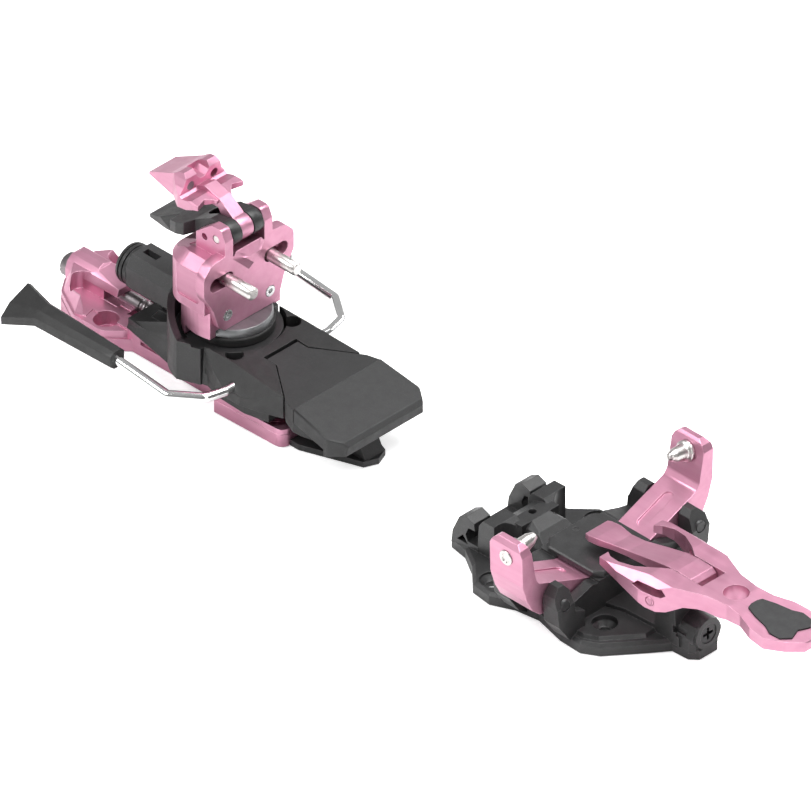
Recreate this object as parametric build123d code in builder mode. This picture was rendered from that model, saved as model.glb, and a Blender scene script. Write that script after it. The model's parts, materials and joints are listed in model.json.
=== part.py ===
from build123d import *
import math
import os

# Touring ski binding: heel unit and toe unit on one ski centreline.
# +X points to the ski tip, +Y to the skier's left, +Z up from the ski top.
# The origin lies on the ski top under the heel turret axis. Millimetres.
#
# Outlines are tables of points: a plan holds (x, y), a side view (x, z) and
# a section (y, z). A table whose name ends in "half" stops at the centreline.

# ---------------------------------------------------------------- dimensions
run = 0.06                  # radial running clearance

rail_half_w = 14.4          # heel rail half width
foot_top = 5.5              # top of the thin heel track foot
tail_top = 8.7              # top of the thick tail flange
rail_top = 9.5              # heel rail top face
carriage_z = rail_top + 0.15     # underside of the carriage
screw_axis_z = 10.0         # lead screw axis height
screw_r = 3.0               # lead screw radius
screw_head_x = -91.6        # rear face of the lead screw
heel_rear_hole = (-54.7, 15.0)   # rear mounting pair, x and half spacing
heel_front_hole = (38.0, 14.0)   # front mounting pair, x and half spacing
mount_hole_r = 2.75         # clearance hole for 5.5 mm ski screws
mount_head_r = 5.2          # screw head recess

collar_r = 25.6             # carriage collar outer radius
collar_bore_r = 22.6        # carriage collar inner radius
barrel_z = 27.8             # lateral spring barrel axis height
plunger_r = 3.5             # plunger stem radius
release_screw_r = 4.4       # bore for the release screw
post_bore_r = 8.0           # bore for the turret post
stack_bore_r = 8.4          # bore of the seal ring and bearing disc

turret_floor = 34.2         # underside of the turret
turret_r = 20.1             # turret skirt outer radius
turret_skirt_bore_r = 17.2  # inner radius of the skirt rim and cam ring
turret_half_w = 21.6        # turret block half width
plate_screw_y, plate_screw_z = 11.5, 40.4   # turret front plate screws
pin_r = 2.7                 # heel pin radius
pin_y = 11.8                # heel pin half spacing
pin_z = 57.5                # heel pin height
pin_tip_x = 23.4            # heel pin tip
pin_shoulder_x = 11.8       # step from the thin rod to the full pin radius
pin_pivot_x = -9.0          # vertical pivot of each heel pin
pin_pivot_r = 1.95          # radius of that pivot
riser_x, riser_z = 3.6, 74.0     # riser hinge axis
riser_axle_r = 1.8          # riser axle radius

brake_x, brake_z = 24.0, 20.6    # brake wire pivot axis
wire_r = 2.0                # brake wire radius
pad_pin_x, pad_pin_z = 29.2, 24.8    # brake pad hinge axis
pad_pin_r = 1.2             # brake pad hinge pin radius

toe_pin_x, toe_pin_y, toe_pin_z = 200.0, 46.1, 43.6    # toe pin seat
toe_pin_r = 2.5             # toe pin stud radius
toe_pin_rise = 10           # upward tilt of the toe pins, degrees
arm_y, arm_z = 36.7, 21.0   # toe arm pivot axis
arm_pivot_r = 2.5           # toe arm pivot pin radius
arm_x0, arm_x1 = 191.2, 208.6    # toe arm width along the ski
cover_z = 20.45             # underside of the centre cover
cover_screw_x = 186.2       # cover screw station
nose_z = 9.8                # nose adjuster axis height
toe_front_hole = (221.0, 19.5)   # front toe mounting pair
toe_rear_hole = (169.4, 28.4)    # rear toe mounting pair

lever_x, lever_z = 243.5, 25.2   # lever hinge axis before the lift
lever_pin_r = 2.0           # lever hinge pin radius
tongue_x, tongue_z = 252.5, 30.6 # tongue hinge axis before the lift
tongue_pin_r = 1.5          # tongue hinge pin radius
lever_lift = 2.0            # height the whole lever group is raised by

# ---------------------------------------------------------------- helpers
CUT = Mode.SUBTRACT
BASE = (Align.CENTER, Align.CENTER, Align.MIN)      # solid starts at its place
TOP = (Align.CENTER, Align.CENTER, Align.MAX)       # solid ends at its place
CENTRE = (Align.CENTER, Align.CENTER, Align.CENTER)


def rod_x(place, radius, length, mode=Mode.ADD, align=BASE):
    """Cylinder along X, running towards +X from place."""
    x, y, z = place
    with Locations(Plane.YZ.offset(x) * Location((y, z, 0))):
        Cylinder(radius, length, align=align, mode=mode)


def rod_y(x, z, radius, length, mode=Mode.ADD):
    """Cylinder along Y, centred on the ski centreline."""
    with Locations(Plane.XZ.offset(-length / 2) * Location((x, z, 0))):
        Cylinder(radius, length, align=BASE, mode=mode)


def rod_z(place, radius, length, mode=Mode.ADD, align=BASE):
    """Cylinder along Z, rising from place."""
    with Locations(place):
        Cylinder(radius, length, align=align, mode=mode)


def block(place, size, mode=Mode.ADD, align=BASE):
    """Box of the given (x, y, z) size, rising from place."""
    with Locations(place):
        Box(*size, align=align, mode=mode)


def full_plan(half):
    """Half plan followed by its mirror image across the centreline."""
    return half + [(x, -y) for x, y in reversed(half) if y != 0]


def full_section(half):
    """Half section followed by its mirror image across the centreline."""
    return half + [(-y, z) for y, z in reversed(half) if y != 0]


def side_plan(side, points):
    """Plan drawn on the left, moved to the given side."""
    return [(x, side * y) for x, y in points]


def side_section(side, points):
    """Section drawn on the left, moved to the given side."""
    return [(side * y, z) for y, z in points]


def save(part, name):
    part.label = name
    export_step(part, f"parts/{name}.step")


os.makedirs("parts", exist_ok=True)


# ================================================================ heel track
track_half = [(-86, -7), (-81, -14), (-66, -22), (-50, -22), (-41, -rail_half_w),
              (6, -rail_half_w), (10, -20.5), (46.4, -19.5)]
tail_half = [(-85.8, -7), (-80.8, -13.8), (-66, -21.8), (-50.6, -21.6),
             (-44, -15.5), (-43, -10)]
rim_half = [(-85.2, -7), (-80.4, -13.2), (-66.5, -20.6), (-61.6, -19.2), (-66, 0)]
pocket_plan = [(-72.6, 5.0), (-72.6, 15.2), (-64, 18.6), (-55, 26), (-50, 26), (-50, 5.0)]
spine_half = [(-6.8, 5), (-6.8, 13.6), (-5.6, 16.8), (-3.2, 18.8), (0, 19.5)]
pocket_z = 9.2              # floor of the pockets beside the spine
scale_pitch = 5.0           # spacing of the engraved marks

with BuildPart() as heel_track:
    # flat foot print with rounded tail, waist and wide front foot
    with BuildSketch(Plane.XY):
        with BuildLine():
            Polyline(*full_plan(track_half), close=True)
        make_face()
    extrude(amount=foot_top)
    fillet([v for v in heel_track.edges().filter_by(Axis.Z)
            if -83 < v.center().X < -45], radius=5.0)
    fillet([v for v in heel_track.edges().filter_by(Axis.Z)
            if v.center().X > 40], radius=4.0)
    # straight rail carrying the carriage
    with BuildSketch(Plane.XY.offset(foot_top)):
        with Locations((-28.5, 0)):
            Rectangle(75, 2 * rail_half_w)
    extrude(amount=rail_top - foot_top)
    # front foot upper layer
    with BuildSketch(Plane.XY.offset(foot_top)) as sketch:
        with BuildLine():
            Polyline(*full_plan([(10.5, -20.2), (46.2, -19.3)]), close=True)
        make_face()
        fillet([v for v in sketch.vertices() if v.X > 40], radius=3.8)
    extrude(amount=2.4)
    # thick tail flange around the rear mounting holes
    with BuildSketch(Plane.XY.offset(foot_top)) as sketch:
        with BuildLine():
            Polyline(*full_plan(tail_half), close=True)
        make_face()
        fillet([v for v in sketch.vertices() if abs(v.Y) > 12 and v.X > -84],
               radius=4.0)
    extrude(amount=tail_top - foot_top)
    # rounded rim hugging the tail
    with BuildSketch(Plane.XY.offset(tail_top)) as sketch:
        with BuildLine():
            Polyline(*full_plan(rim_half), close=True)
        make_face()
        fillet([v for v in sketch.vertices() if v.X < -79], radius=4.5)
    extrude(amount=8.4, taper=20)
    # scooped pockets either side of the spine
    for side in (1, -1):
        rod_z((-72.6, side * 10.4, pocket_z), 4.8, 20, CUT)
        with BuildSketch(Plane.XY.offset(pocket_z)):
            with BuildLine():
                Polyline(*side_plan(side, pocket_plan), close=True)
            make_face()
        extrude(amount=20, mode=CUT)
    # rounded spine that houses the lead screw
    with BuildSketch(Plane.YZ.offset(-85.6)):
        with BuildLine():
            Polyline(*full_section(spine_half), close=True)
        make_face()
    extrude(amount=28.4)
    # spine top falls away to the rear and to the front
    with BuildSketch(Plane.XZ):
        with BuildLine():
            Polyline((-90, 17.0), (-83.6, 19.6), (-71.5, 19.6), (-70.4, 18.4),
                     (-56.0, 16.4), (-56.0, 26), (-90, 26), close=True)
        make_face()
    extrude(amount=12, both=True, mode=CUT)
    # screw bore through the hub
    rod_x((-90, 0, screw_axis_z), screw_r + run, 45, CUT)
    # open groove along the rail for the nut and the screw
    block((-24, 0, 5), (54, 14.4, 20), CUT)
    # side windows of the hub showing the screw
    block((-60.6, 0, 9.4), (7.6, 30, 4.2), CUT)
    # guide slots for the carriage along both rail flanks
    for side in (1, -1):
        block((-13.5, side * (rail_half_w - 0.65), 5.2), (46, 1.4, 1.8), CUT)
    # counterbored mounting holes
    for hole_x, hole_y in (heel_rear_hole, heel_front_hole):
        for side in (1, -1):
            rod_z((hole_x, side * hole_y, 11), mount_head_r, 8.4, CUT, TOP)
            rod_z((hole_x, side * hole_y, 11), mount_hole_r, 12, CUT, TOP)
    # engraved position scale on both rail flanks, every other mark longer
    for side in (1, -1):
        for i in range(7):
            block((-34 + scale_pitch * i, side * rail_half_w, 7.9),
                  (0.45, 0.5, 1.2 + 0.5 * ((i + 1) % 2)), CUT, CENTRE)
save(heel_track.part, "heel_track")

# front stop plate just ahead of the track
with BuildPart() as track_front_stop:
    with BuildSketch(Plane.XY):
        with BuildLine():
            Polyline(*full_plan([(46.5, -15.5), (51, -15.5), (77, -6), (79.5, 0)]),
                     close=True)
        make_face()
    extrude(amount=2.6)
    # ridge along the centre
    with BuildSketch(Plane.XZ):
        with BuildLine():
            Polyline((52, 2), (57, 8), (66, 11.4), (72.5, 11.4), (77.5, 2),
                     close=True)
        make_face()
    extrude(amount=5.0, both=True)
    fillet([e for e in track_front_stop.edges().filter_by(Axis.Y)
            if e.center().Z > 10], radius=1.2)
    # pocket in the underside
    block((58, 0, 1.2), (8, 6, 4), CUT, TOP)
save(track_front_stop.part, "track_front_stop")

# lead screw: slotted round head at the rear, plain shank, grooved rod
thread_r = 2.4              # radius at the bottom of the grooves
thread_start, thread_pitch, thread_count = -50.0, 3.0, 14
screw_profile = [           # (x, radius)
    (screw_head_x, 0), (screw_head_x, 3.9), (screw_head_x + 1.0, 4.9),
    (-86.2, 4.9), (-86.2, screw_r)]
for i in range(thread_count):
    x = thread_start + thread_pitch * i
    screw_profile += [(x, screw_r), (x + 0.5, thread_r), (x + 1.5, thread_r),
                      (x + 2.0, screw_r)]
screw_profile += [(-4, screw_r), (-3, 2), (-3, 0)]

with BuildPart() as lead_screw:
    with BuildSketch(Plane.XZ):
        with BuildLine():
            Polyline(*[(x, screw_axis_z + r) for x, r in screw_profile], close=True)
        make_face()
    revolve(axis=Axis((0, 0, screw_axis_z), (1, 0, 0)), revolution_arc=360)
    block((screw_head_x, 0, screw_axis_z), (3.0, 12, 1.3), CUT, CENTRE)
save(lead_screw.part, "lead_screw")

# ================================================================ carriage
shoulder_rear = [(12.6, 10.2), (14.4, 9.8), (13.2, 12.4)]
shoulder_front = [(3.0, 10.2), (20.4, 9.8), (12.0, 26.0)]
flank_plan = [(-6.2, 24.8), (3.3, 21.2), (3.3, 14.0), (-6.2, 14.0)]

with BuildPart() as heel_carriage:
    # sole riding on the rail
    with BuildSketch(Plane.XY.offset(carriage_z)):
        with BuildLine():
            Polyline(*full_plan([(-44, -13.6), (-38, -14.4), (34, -14.4)]), close=True)
        make_face()
    extrude(amount=4.4)
    # bearing tower under the turret
    with BuildSketch(Plane.XY.offset(carriage_z)):
        Circle(20.5)
    extrude(amount=16.8, taper=4)
    # faceted shoulders climbing from the rear rail corners to the tower
    for side in (1, -1):
        with BuildSketch(Plane.YZ.offset(-44)):
            with BuildLine():
                Polyline(*side_section(side, shoulder_rear), close=True)
            make_face()
        with BuildSketch(Plane.YZ.offset(-14)):
            with BuildLine():
                Polyline(*side_section(side, shoulder_front), close=True)
            make_face()
        loft()
    # lower block in front, under the brake plate
    block((19, 0, carriage_z), (28, 27.0, 6.2))
    # nut block reaching into the rail groove
    block((-24, 0, 5.6), (12, 13.9, 7))
    # barrel cradle: web from the tower up to the barrel
    with BuildSketch(Plane.XZ):
        with BuildLine():
            Polyline((-19.0, 12), (-40, 12), (-34, 19.3), (-19.0, 19.3), close=True)
        make_face()
    extrude(amount=6.6, both=True)
    # upright collar wall around the rear of the turret, falling to the front
    with BuildSketch(Plane.XY.offset(13.5)):
        Circle(collar_r)
        Circle(collar_bore_r, mode=CUT)
        with Locations((25, 0)):
            Rectangle(62, 80, mode=CUT)
    extrude(amount=23.4)
    with BuildSketch(Plane.XZ):
        with BuildLine():
            Polyline((-21.5, 36.95), (-5.5, 27.6), (-5.5, 45), (-21.5, 45), close=True)
        make_face()
    extrude(amount=30, both=True, mode=CUT)
    # skirt of the tower joining the collar to the sole
    with BuildSketch(Plane.XY.offset(carriage_z)):
        Circle(collar_r)
        with Locations((24, 0)):
            Rectangle(60, 80, mode=CUT)
    extrude(amount=16.0)
    # flanks running forward from the skirt to the brake plate
    for side in (1, -1):
        with BuildSketch(Plane.XY.offset(carriage_z)):
            with BuildLine():
                Polyline(*side_plan(side, flank_plan), close=True)
            make_face()
        extrude(amount=17.9)
    rod_z((0, 0, 26.4), collar_bore_r, 3, CUT)
    # plunger passage through the collar
    rod_x((-27, 0, barrel_z), plunger_r + run, 8, CUT)
    # wide tunnels for the screw behind and ahead of the nut, close bore in the nut
    rod_x((-60, 0, screw_axis_z), screw_r + 0.7, 30, CUT)
    rod_x((-18, 0, screw_axis_z), screw_r + 0.7, 32, CUT)
    rod_x((-31, 0, screw_axis_z), screw_r + run, 14, CUT)
    # bore for the turret post
    rod_z((0, 0, 15.5), post_bore_r, 20, CUT)
    # channel for the brake wire bar and the pad hinge
    block((brake_x, 0, brake_z), (6.4, 70, 7.0), CUT, CENTRE)
save(heel_carriage.part, "heel_carriage")

# lateral spring barrel, flat topped with bevelled shoulders
barrel_section = [          # (y, height from the barrel axis)
    (-8.4, -4.2), (-8.4, 4.4), (-5.2, 9.2), (5.2, 9.2), (8.4, 4.4), (8.4, -4.2),
    (5.0, -8.2), (-5.0, -8.2)]
with BuildPart() as barrel_housing:
    with BuildSketch(Plane.YZ.offset(-50.4)):
        with BuildLine():
            Polyline(*[(y, barrel_z + h) for y, h in barrel_section], close=True)
        make_face()
    extrude(amount=27.0)
    # front end follows the round collar
    rod_z((0, 0, 10), collar_r + 0.02, 40, CUT)
    # spring bore open to the rear and plunger bore to the front
    rod_x((-52, 0, barrel_z), 6.4, 25, CUT)
    rod_x((-30, 0, barrel_z), plunger_r + run, 10, CUT)
    # reading window
    block((-44.5, 0, barrel_z + 10), (7.5, 3.2, 6), CUT, TOP)
save(barrel_housing.part, "barrel_housing")

# ring-grooved rear cap of the barrel
cap_profile = [             # (x, radius)
    (-57.6, release_screw_r), (-57.6, 6.6), (-56.4, 8.3), (-55.2, 8.6), (-55.2, 7.8),
    (-54.4, 7.8), (-54.4, 8.6), (-53.2, 8.6), (-53.2, 7.8), (-52.4, 7.8),
    (-52.4, 8.6), (-50.45, 8.6), (-50.45, 6.34), (-48.5, 6.34),
    (-48.5, release_screw_r)]
with BuildPart() as barrel_cap:
    with BuildSketch(Plane.XZ):
        with BuildLine():
            Polyline(*[(x, barrel_z + r) for x, r in cap_profile], close=True)
        make_face()
    revolve(axis=Axis((0, 0, barrel_z), (1, 0, 0)), revolution_arc=360)
save(barrel_cap.part, "barrel_cap")

# release value screw inside the cap, slotted
with BuildPart() as release_screw:
    rod_x((-57.2, 0, barrel_z), release_screw_r - run, 11)
    rod_x((-47.6, 0, barrel_z), 5.4, 2)
    block((-57.2, 0, barrel_z), (3.2, 7.0, 1.4), CUT, CENTRE)
save(release_screw.part, "release_screw")

# lateral spring: plain helical coil
with BuildPart() as lateral_spring:
    with BuildLine() as coil:
        Helix(pitch=2.6, height=13.0, radius=5.0, center=(-44.7, 0, barrel_z),
              direction=(1, 0, 0))
    with BuildSketch(Plane(origin=coil.line @ 0, z_dir=coil.line % 0)):
        Circle(0.7)
    sweep(path=coil.line)
save(lateral_spring.part, "lateral_spring")

# plunger pressing on the turret cam ring, its head towards the spring
plunger_x, plunger_head = -30.8, 3.0     # rear face and head length
with BuildPart() as plunger:
    rod_x((plunger_x, 0, barrel_z), 5.6, plunger_head)
    rod_x((plunger_x + plunger_head, 0, barrel_z), plunger_r, 7.1)
save(plunger.part, "plunger")

# bearing stack: seal ring below, disc above
with BuildPart() as seal_ring:
    rod_z((0, 0, 26.7), 16.4, 3.6)
    rod_z((0, 0, 26.7), stack_bore_r, 3.6, CUT)
    fillet(seal_ring.edges().filter_by(GeomType.CIRCLE).group_by(Axis.Z)[-1].sort_by(
        SortBy.RADIUS)[-1], radius=0.8)
save(seal_ring.part, "seal_ring")

with BuildPart() as bearing_disc:
    rod_z((0, 0, 30.4), 15.6, 3.6)
    rod_z((0, 0, 30.4), stack_bore_r, 3.6, CUT)
    chamfer(bearing_disc.edges().filter_by(GeomType.CIRCLE).group_by(Axis.Z)[-1].sort_by(
        SortBy.RADIUS)[-1], length=0.5)
save(bearing_disc.part, "bearing_disc")

# stepped post the turret turns on
with BuildPart() as turret_post:
    rod_z((0, 0, 15.6), post_bore_r - 0.05, 27.0)
    rod_z((0, 0, 42.6), 6.0, 3.0)
save(turret_post.part, "turret_post")

# ================================================================ turret
turret_half = [(6.0, -turret_half_w), (-18.6, -turret_half_w)]
front_plate_half = [(-13.5, 34.2), (-16.6, 37.0), (-19.4, 46.0), (-24.4, 54.5),
                    (-24.4, 63.0), (-20.0, 67.6), (-13.6, 68.4), (-8.9, 68.4),
                    (-8.9, 66.2)]
ear_side = [(8.7, 62), (8.7, 74.5), (6.6, 79.4), (1.2, 79.4), (-7.5, 72.6),
            (-11.5, 65), (-11.5, 62)]
chamber_plan = [(-14.6, -17.2), (-14.6, 17.2), (-4, 18.4), (4.3, 19.4),
                (4.3, -19.4), (-4, -18.4)]

with BuildPart() as turret_housing:
    # lower skirt, round so it can turn inside the collar
    with BuildSketch(Plane.XY.offset(turret_floor)):
        Circle(turret_r)
        with Locations((26.5, 0)):
            Rectangle(40, 60, mode=CUT)
    extrude(amount=9.3)
    # lower rim of the skirt beside the bearing disc
    with BuildSketch(Plane.XY.offset(31.4)):
        Circle(turret_r)
        Circle(turret_skirt_bore_r, mode=CUT)
        with Locations((26.5, 0)):
            Rectangle(40, 60, mode=CUT)
    extrude(amount=3.4)
    # main block with rounded rear corners
    with BuildSketch(Plane.XY.offset(43.4)) as sketch:
        with BuildLine():
            Polyline(*full_plan(turret_half), close=True)
        make_face()
        fillet([v for v in sketch.vertices() if v.X < 0], radius=12.5)
    extrude(amount=22.6)
    chamfer([e for e in turret_housing.edges().group_by(Axis.Z)[-1]
             if e.center().X < 5.5], length=4.4)
    # front plate with two side lobes, tapering down to the socket screws
    with BuildSketch(Plane.YZ.offset(4.2)) as sketch:
        with BuildLine():
            Polyline(*full_section(front_plate_half), close=True)
        make_face()
        fillet([v for v in sketch.vertices() if abs(v.X) > 16 and v.Y > 45],
               radius=4.4)
    extrude(amount=4.5)
    # ears holding the riser axle
    for side in (1, -1):
        with BuildSketch(Plane.XZ.offset(-side * 10.65)) as sketch:
            with BuildLine():
                Polyline(*ear_side, close=True)
            make_face()
            fillet([v for v in sketch.vertices() if v.Y > 70], radius=1.8)
        extrude(amount=2.15, both=True)
    # diamond facet between the pins
    with BuildSketch(Plane.YZ.offset(8.6)):
        with BuildLine():
            Polyline(*full_section([(-6.8, 68.2), (-8.8, 65.4), (0, 56.4)]), close=True)
        make_face()
    extrude(amount=2.8, taper=48)
    # part-ring cam at the rear underneath, pressed by the plunger
    with BuildSketch(Plane.XY.offset(27.0)):
        Circle(turret_r)
        Circle(turret_skirt_bore_r, mode=CUT)
        with Locations((16, 0)):
            Rectangle(48, 60, mode=CUT)
    extrude(amount=8.0)
    # relief between the ears for the riser knuckles
    rod_y(riser_x, riser_z, 6.9, 17.0, CUT)
    with BuildSketch(Plane.XZ):
        with BuildLine():
            Polyline((riser_x, riser_z), (4.0, 67.4), (-3.0, 65.0), (-25, 60.5),
                     (-25, 84), (riser_x, 84), close=True)
        make_face()
    extrude(amount=8.5, both=True, mode=CUT)
    # sloping roof under the folded lower riser
    with BuildSketch(Plane.XZ):
        with BuildLine():
            Polyline((-7.6, 66.5), (-25, 59.0), (-25, 84), (-7.6, 84), close=True)
        make_face()
    extrude(amount=16.0, both=True, mode=CUT)
    # pin chamber, fan shaped, open through two outboard slots in the front plate
    with BuildSketch(Plane.XY.offset(pin_z - 3.3)):
        with BuildLine():
            Polyline(*chamber_plan, close=True)
        make_face()
    extrude(amount=6.6, mode=CUT)
    for side in (1, -1):
        with BuildSketch(Plane.YZ.offset(4.0)):
            with Locations((side * (pin_y + 2.9), pin_z)):
                SlotCenterToCenter(6.6, 2 * (pin_r + 0.35))
        extrude(amount=8, mode=CUT)
        # vertical bores of the pin pivots
        rod_z((pin_pivot_x, side * pin_y, 46), pin_pivot_r + 0.05, 30, CUT)
        # sunk side panels
        with BuildSketch(Plane.XZ.offset(-side * turret_half_w)):
            with Locations((-3.4, 54.0)):
                RectangleRounded(13.0, 13.5, 2.0)
        extrude(amount=0.8, both=True, mode=CUT)
        # riser axle bore and the small cross bore behind it
        with Locations(Plane.XZ.offset(-side * 14) * Location((riser_x, riser_z, 0))):
            Cylinder(riser_axle_r + 0.02, 12, mode=CUT)
        with Locations(Plane.XZ.offset(-side * 12.8) * Location((-2.6, 72.4, 0))):
            Cylinder(1.5, 4.0, mode=CUT)
        # socket screw seats in the front plate
        rod_x((9.0, side * plate_screw_y, plate_screw_z), 2.5, 2.2, CUT, TOP)
        rod_x((9.0, side * plate_screw_y, plate_screw_z), 1.6, 8.0, CUT, TOP)
    # stepped post bore
    rod_z((0, 0, 34), post_bore_r, 8.65, CUT)
    rod_z((0, 0, 34), 6.05, 12.0, CUT)
save(turret_housing.part, "turret_housing")

# two socket screws of the front plate
with BuildPart() as turret_screws:
    for side in (1, -1):
        rod_x((6.85, side * plate_screw_y, plate_screw_z), 2.3, 2.0)
        rod_x((1.3, side * plate_screw_y, plate_screw_z), 1.5, 5.6)
        with BuildSketch(Plane.YZ.offset(8.85)):
            with Locations((side * plate_screw_y, plate_screw_z)):
                RegularPolygon(1.2, 6)
        extrude(amount=-1.3, mode=CUT)
save(turret_screws.part, "turret_screws")

# vertical pivots of the heel pins
with BuildPart() as pin_pivots:
    for side in (1, -1):
        rod_z((pin_pivot_x, side * pin_y, 46.2), pin_pivot_r, 18.2)
save(pin_pivots.part, "pin_pivots")

# axle through the ears, chamfered at both ends
with BuildPart() as riser_axle:
    rod_y(riser_x, riser_z, riser_axle_r, 25.2)
    chamfer(riser_axle.edges().filter_by(GeomType.CIRCLE), length=0.35)
save(riser_axle.part, "riser_axle")


def heel_pin(side, name):
    """Stepped rod with a flat pivot eye at the back."""
    with BuildPart() as pin:
        rod_x((pin_pivot_x + 2, side * pin_y, pin_z), 1.9, 19.0)
        rod_x((pin_shoulder_x, side * pin_y, pin_z), pin_r, pin_tip_x - pin_shoulder_x)
        chamfer(pin.edges().filter_by(GeomType.CIRCLE).sort_by(Axis.X)[-1], length=0.6)
        with Locations((pin_pivot_x, side * pin_y, pin_z)):
            Cylinder(4.2, 6.2)
            Cylinder(pin_pivot_r + run, 8, mode=CUT)
    save(pin.part, name)


heel_pin(1, "heel_pin_left")
heel_pin(-1, "heel_pin_right")

# ================================================================ risers
# lower riser: two outer knuckles and a faceted plate folded to the rear
lower_side = [(3.6, 79.2), (-4.0, 78.0), (-13.0, 73.2), (-24.0, 69.2), (-38.0, 63.2),
              (-38.0, 61.6), (-26.0, 63.4), (-12.0, 67.6), (-5.0, 68.4), (3.6, 68.9)]
lower_half = [(10, -8.2), (-12.2, -8.2), (-14.6, -12.4), (-19, -12.4), (-38, -7.6)]
lower_gap_half = [(12, -3.3), (-9.5, -3.3), (-11.5, -1.6)]
lower_facet = [(4.5, 70.5), (16, 61.5), (16, 80), (4.5, 80)]

with BuildPart() as riser_lower:
    with BuildSketch(Plane.XZ):
        with BuildLine():
            Polyline(*lower_side, close=True)
        make_face()
    extrude(amount=13.0, both=True)
    rod_y(riser_x, riser_z, 5.2, 26)
    # plan shape: narrow at the knuckles, wide wings, tapering to the rear
    with BuildSketch(Plane.XY.offset(50)):
        with BuildLine():
            Polyline(*full_plan(lower_half), close=True)
        make_face()
    extrude(amount=40, mode=Mode.INTERSECT)
    # gap for the centre knuckle and the neck of the upper riser
    with BuildSketch(Plane.XY.offset(50)):
        with BuildLine():
            Polyline(*full_plan(lower_gap_half), close=True)
        make_face()
    extrude(amount=40, mode=CUT)
    # slanting top facets running to the rear edge
    for side in (1, -1):
        with BuildSketch(Plane.YZ.offset(-40)):
            with BuildLine():
                Polyline(*side_section(side, lower_facet), close=True)
            make_face()
        extrude(amount=17, mode=CUT)
    rod_y(riser_x, riser_z, riser_axle_r + run, 26, CUT)
save(riser_lower.part, "riser_lower")

# upper riser: centre knuckle, slim neck, winged body and faceted rear beak
neck_side = [(3.0, 79.0), (-4.5, 84.4), (-12.5, 86.6), (-18.0, 84.0), (-11.0, 79.8),
             (-5.0, 80.2), (-1.8, 74.6), (3.6, 69.2)]
upper_side = [(-4.6, 82.4), (-4.6, 83.8), (-10.5, 84.7), (-15.6, 83.2), (-16.8, 84.0),
              (-16.2, 90.6), (-18.0, 92.4), (-20.8, 91.8), (-25.5, 88.9),
              (-38.6, 82.4), (-38.6, 81.4), (-28.0, 79.6), (-19.0, 78.4),
              (-13.0, 79.6), (-9.0, 81.6)]
upper_half = [(12, -3.0), (-2.0, -3.0), (-5.6, -4.4), (-8.2, -7.4), (-6.7, -12.3),
              (-9.5, -12.9), (-18, -12.2), (-24.0, -8.6), (-38.6, -7.2)]
wing_cut = [(7.4, 95), (9.4, 90.0), (10.4, 86.8), (13.6, 82.8), (18, 82.8), (18, 95)]
hump_groove_half = [(-4.4, 95), (-3.2, 89.6), (-1.4, 87.4)]

with BuildPart() as riser_upper:
    # neck and centre knuckle
    with BuildSketch(Plane.XZ):
        with BuildLine():
            Polyline(*neck_side, close=True)
        make_face()
    extrude(amount=3.0, both=True)
    rod_y(riser_x, riser_z, 4.9, 6.0)
    # body block
    with BuildSketch(Plane.XZ):
        with BuildLine():
            Polyline(*upper_side, close=True)
        make_face()
    extrude(amount=14.0, both=True)
    # plan outline: wings at the front, tapering to the beak
    with BuildSketch(Plane.XY.offset(60)):
        with BuildLine():
            Polyline(*full_plan(upper_half), close=True)
        make_face()
    extrude(amount=50, mode=Mode.INTERSECT)
    # wings fall away from the humps
    for side in (1, -1):
        with BuildSketch(Plane.YZ.offset(-24)):
            with BuildLine():
                Polyline(*side_section(side, wing_cut), close=True)
            make_face()
        extrude(amount=20, mode=CUT)
    # groove parting the body into two humps
    with BuildSketch(Plane.YZ.offset(-22.5)):
        with BuildLine():
            Polyline(*full_section(hump_groove_half), close=True)
        make_face()
    extrude(amount=19, mode=CUT)
    # arched relief underneath, behind the neck
    rod_y(-15.0, 76.4, 5.0, 18, CUT)
    # two round seats facing forward
    for side in (1, -1):
        with Locations(Location((-17.0, side * 6.35, 86.2), (0, 78, 0))):
            Cylinder(1.9, 7.0, mode=CUT)
    rod_y(riser_x, riser_z, riser_axle_r + run, 8, CUT)
save(riser_upper.part, "riser_upper")

# round magnet pressed into the right seat of the upper riser
with BuildPart() as riser_magnet:
    with Locations(Location((-18.6, -6.35, 85.86), (0, 78, 0))):
        Cylinder(1.85, 3.6)
save(riser_magnet.part, "riser_magnet")

# ================================================================ ski brake
# deck plate around the tower with a wedge-shaped bay for the moving pad
deck_half = [(3.5, -13.5), (5.0, -20.4), (14.0, -24.2), (21.5, -26.5), (30.0, -26.5),
             (38.0, -24.4), (48.5, -20.6)]
deck_flank = [(6, 15.2), (6, 20.0), (14, 22.4), (29, 23.0), (40, 20.6), (40, 15.2)]
deck_bevel = [(19.5, 28.2), (26.0, 20.0), (30.0, 20.0), (30.0, 40), (19.5, 40)]
bay_half = [(25.4, -8.8), (32.0, -8.8), (50.6, -22.4), (70, -22.4)]

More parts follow.
